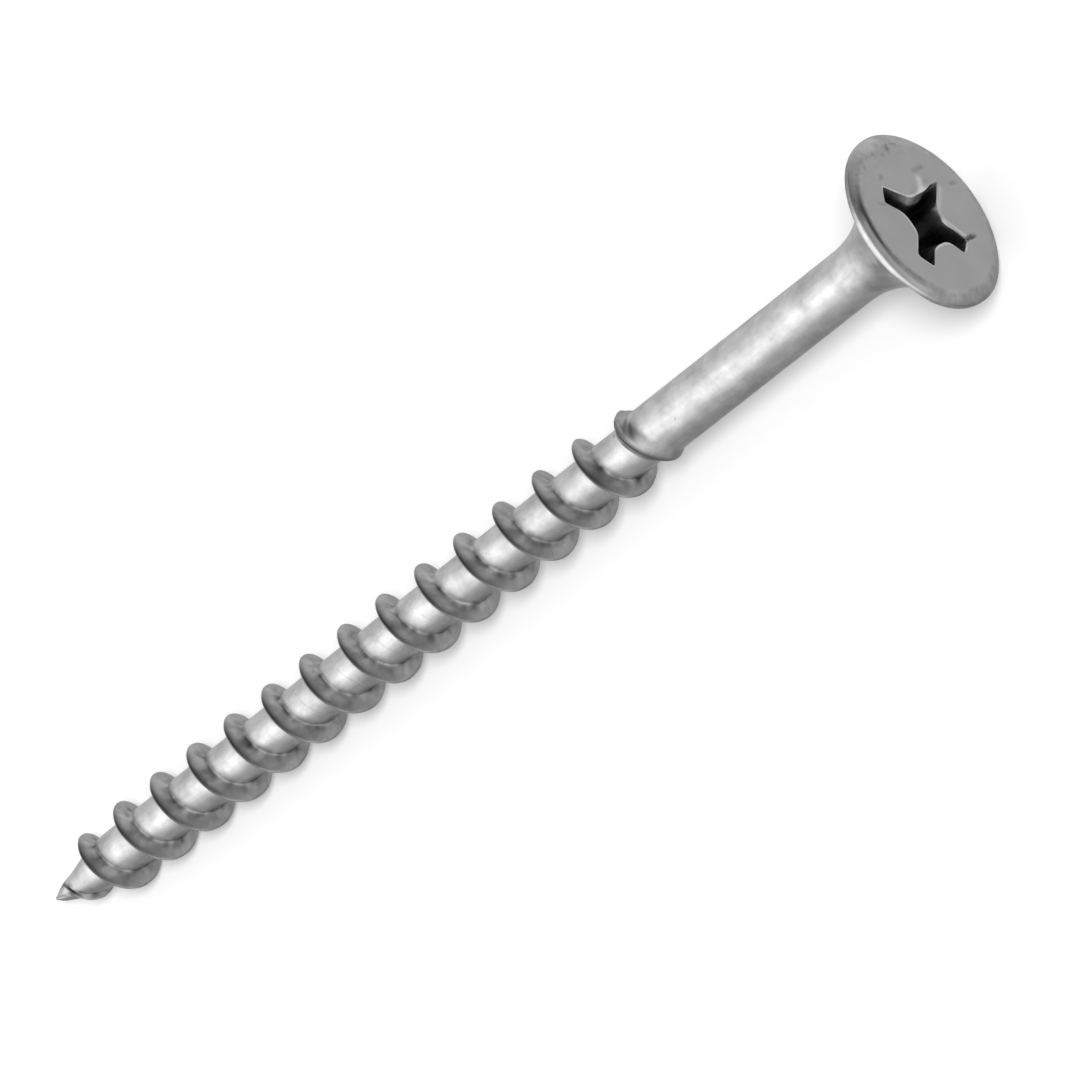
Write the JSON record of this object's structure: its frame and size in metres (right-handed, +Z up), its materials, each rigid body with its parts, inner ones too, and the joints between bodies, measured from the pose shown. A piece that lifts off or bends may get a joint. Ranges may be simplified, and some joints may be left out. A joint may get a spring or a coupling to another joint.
{
  "type": "wood screw",
  "caption": "Bugle-head wood screw with a cross recess, a plain shank, a coarse right-handed thread and a gimlet point, in dull zinc-plated steel.",
  "frame": {"origin": "centre of the head's flat top, on the screw's axis", "axes": "+X out of the head along the screw's axis, towards the driver, with the point at the -X end; +Z up with the screw lying on its side; +Y completes the right-handed set"},
  "size_m": [0.0635, 0.0088, 0.0088],
  "materials": {
    "zinc_steel": "dull zinc plating, satin, slightly mottled"
  },
  "bodies": {
    "root": {"bugle_head": "zinc_steel", "shank": "zinc_steel", "thread_collar": "zinc_steel", "thread_core": "zinc_steel", "thread_ridge": "zinc_steel", "gimlet_point": "zinc_steel"}
  },
  "joints": []
}
